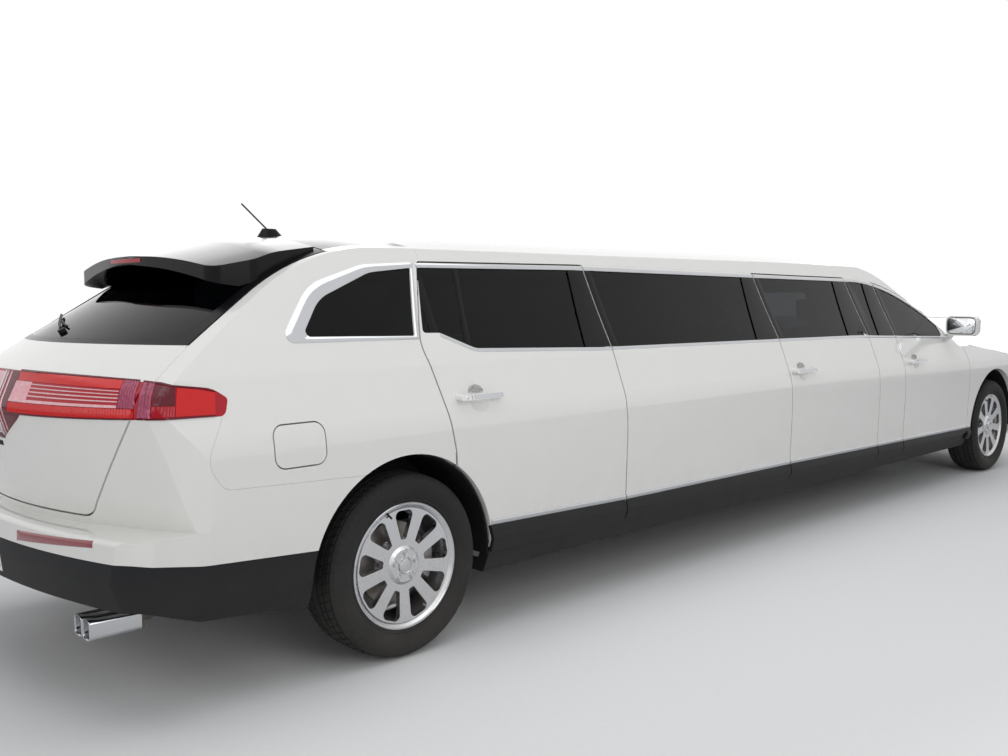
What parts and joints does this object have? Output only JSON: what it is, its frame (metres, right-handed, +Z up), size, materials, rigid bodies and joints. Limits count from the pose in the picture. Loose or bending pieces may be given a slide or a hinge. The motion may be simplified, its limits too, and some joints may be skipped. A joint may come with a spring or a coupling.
{
  "type": "stretch limousine",
  "caption": "Stretched crossover limousine: long cabin, five side doors, liftgate, hood, steered front wheels and rolling wheels.",
  "frame": {"origin": "on the ground, midway along the length, on the centre plane", "axes": "+X to the nose, +Y to the left side, +Z up"},
  "size_m": [8.3157, 2.372, 1.8467],
  "materials": {
    "paint_white": "gloss pearl white",
    "glass_dark": "dark privacy glass",
    "glass_clear": "clear windscreen glass",
    "lamp_red": "red lamp lens",
    "lamp_clear": "clear lamp lens",
    "black_satin": "satin black",
    "black_gloss": "gloss black",
    "chrome": "polished",
    "wheel_silver": "silver lacquer",
    "tyre_rubber": "matt",
    "steel_dark": "coated",
    "engine_metal": "cast",
    "carpet": "cut pile",
    "leather": "grained black",
    "trim_soft": "grained",
    "cabinet": "lacquered dark wood"
  },
  "bodies": {
    "vehicle": {"bar_cabinet": "cabinet", "body_frames": "paint_white", "chassis_frame": "steel_dark", "cowl_panel": "black_satin", "dashboard": "trim_soft", "engine_block": "engine_metal", "exhaust": "chrome", "fixed_side_glass": "glass_dark", "floor_pan": "carpet", "front_bumper": "paint_white", "front_fenders": "paint_white", "front_seats": "leather", "front_subframe": "steel_dark", "fuel_tank": "black_satin", "grille": "chrome", "headlamps": "lamp_clear", "lounge_seats": "leather", "partition": "trim_soft", "quarter_panels": "paint_white", "rear_axle": "steel_dark", "rear_bumper": "paint_white", "rear_roof_panel": "black_gloss", "rear_valance": "black_satin", "roof_panel": "paint_white", "side_panels": "paint_white", "sills": "black_satin", "tail_lamps_outer": "lamp_red", "wheel_liners": "black_satin", "windscreen": "glass_clear"},
    "front_door_left": {"front_door_left": "paint_white", "front_door_glass_left": "glass_dark"},
    "rear_door_left": {"rear_door_left": "paint_white", "rear_door_glass_left": "glass_dark"},
    "knuckle_left": {"knuckle_left": "steel_dark"},
    "wheel_front_left": {"rim_front_left": "wheel_silver", "tyre_front_left": "tyre_rubber"},
    "wheel_rear_left": {"rim_rear_left": "wheel_silver", "tyre_rear_left": "tyre_rubber"},
    "front_door_right": {"front_door_right": "paint_white", "front_door_glass_right": "glass_dark"},
    "rear_door_right": {"rear_door_right": "paint_white", "rear_door_glass_right": "glass_dark"},
    "knuckle_right": {"knuckle_right": "steel_dark"},
    "wheel_front_right": {"rim_front_right": "wheel_silver", "tyre_front_right": "tyre_rubber"},
    "wheel_rear_right": {"rim_rear_right": "wheel_silver", "tyre_rear_right": "tyre_rubber"},
    "middle_door_right": {"middle_door_right": "paint_white", "middle_door_glass_right": "glass_dark"},
    "hood": {"hood": "paint_white"},
    "tailgate": {"tailgate": "paint_white", "tailgate_frame": "black_gloss", "tailgate_glass": "glass_dark", "tail_lamp_bar": "lamp_red"},
    "fuel_flap": {"fuel_flap": "paint_white"},
    "steering_wheel": {"steering_wheel": "leather"}
  },
  "joints": [
    {"name": "front_door_right_hinge", "type": "hinge", "parent": "vehicle", "child": "front_door_right", "pos_m": [2.5895, -0.952, 0.7], "axis": [0, 0, 1], "range_deg": [0, 65]},
    {"name": "front_door_left_hinge", "type": "hinge", "parent": "vehicle", "child": "front_door_left", "pos_m": [2.5895, 0.952, 0.7], "axis": [0, 0, -1], "range_deg": [0, 65]},
    {"name": "rear_door_right_hinge", "type": "hinge", "parent": "vehicle", "child": "rear_door_right", "pos_m": [-1.578, -0.952, 0.7], "axis": [0, 0, 1], "range_deg": [0, 65]},
    {"name": "rear_door_left_hinge", "type": "hinge", "parent": "vehicle", "child": "rear_door_left", "pos_m": [-1.578, 0.952, 0.7], "axis": [0, 0, -1], "range_deg": [0, 65]},
    {"name": "middle_door_right_hinge", "type": "hinge", "parent": "vehicle", "child": "middle_door_right", "pos_m": [1.082, -0.952, 0.7], "axis": [0, 0, 1], "range_deg": [0, 65]},
    {"name": "hood_hinge", "type": "hinge", "parent": "vehicle", "child": "hood", "pos_m": [2.7865, 0, 1.141], "axis": [0, -1, 0], "range_deg": [0, 55]},
    {"name": "tailgate_hinge", "type": "hinge", "parent": "vehicle", "child": "tailgate", "pos_m": [-3.0535, 0, 1.684], "axis": [0, 1, 0], "range_deg": [0, 85]},
    {"name": "fuel_flap_hinge", "type": "hinge", "parent": "vehicle", "child": "fuel_flap", "pos_m": [-3.2745, -0.957, 0.907], "axis": [0, 0, 1], "range_deg": [0, 90]},
    {"name": "steer_left", "type": "hinge", "parent": "vehicle", "child": "knuckle_left", "pos_m": [3.1565, 0.745, 0.292], "axis": [0, -0.2728, 0.9621], "range_deg": [-32, 32]},
    {"name": "steer_right", "type": "hinge", "parent": "vehicle", "child": "knuckle_right", "pos_m": [3.1565, -0.745, 0.292], "axis": [0, 0.2728, 0.9621], "range_deg": [-32, 32]},
    {"name": "spin_front_left", "type": "hinge", "parent": "knuckle_left", "child": "wheel_front_left", "pos_m": [3.1565, 0.825, 0.37], "axis": [0, 1, 0], "continuous": true},
    {"name": "spin_rear_left", "type": "hinge", "parent": "vehicle", "child": "wheel_rear_left", "pos_m": [-2.8865, 0.825, 0.37], "axis": [0, 1, 0], "continuous": true},
    {"name": "spin_front_right", "type": "hinge", "parent": "knuckle_right", "child": "wheel_front_right", "pos_m": [3.1565, -0.825, 0.37], "axis": [0, 1, 0], "continuous": true},
    {"name": "spin_rear_right", "type": "hinge", "parent": "vehicle", "child": "wheel_rear_right", "pos_m": [-2.8865, -0.825, 0.37], "axis": [0, 1, 0], "continuous": true},
    {"name": "steering_wheel_turn", "type": "hinge", "parent": "vehicle", "child": "steering_wheel", "pos_m": [1.9065, 0.41, 0.985], "axis": [-0.9063, 0, 0.4226], "range_deg": [-480, 480]}
  ],
  "couplings": [
    {"joint": "steer_right", "follows": "steer_left", "ratio": 1},
    {"joint": "steering_wheel_turn", "follows": "steer_left", "ratio": 15}
  ]
}
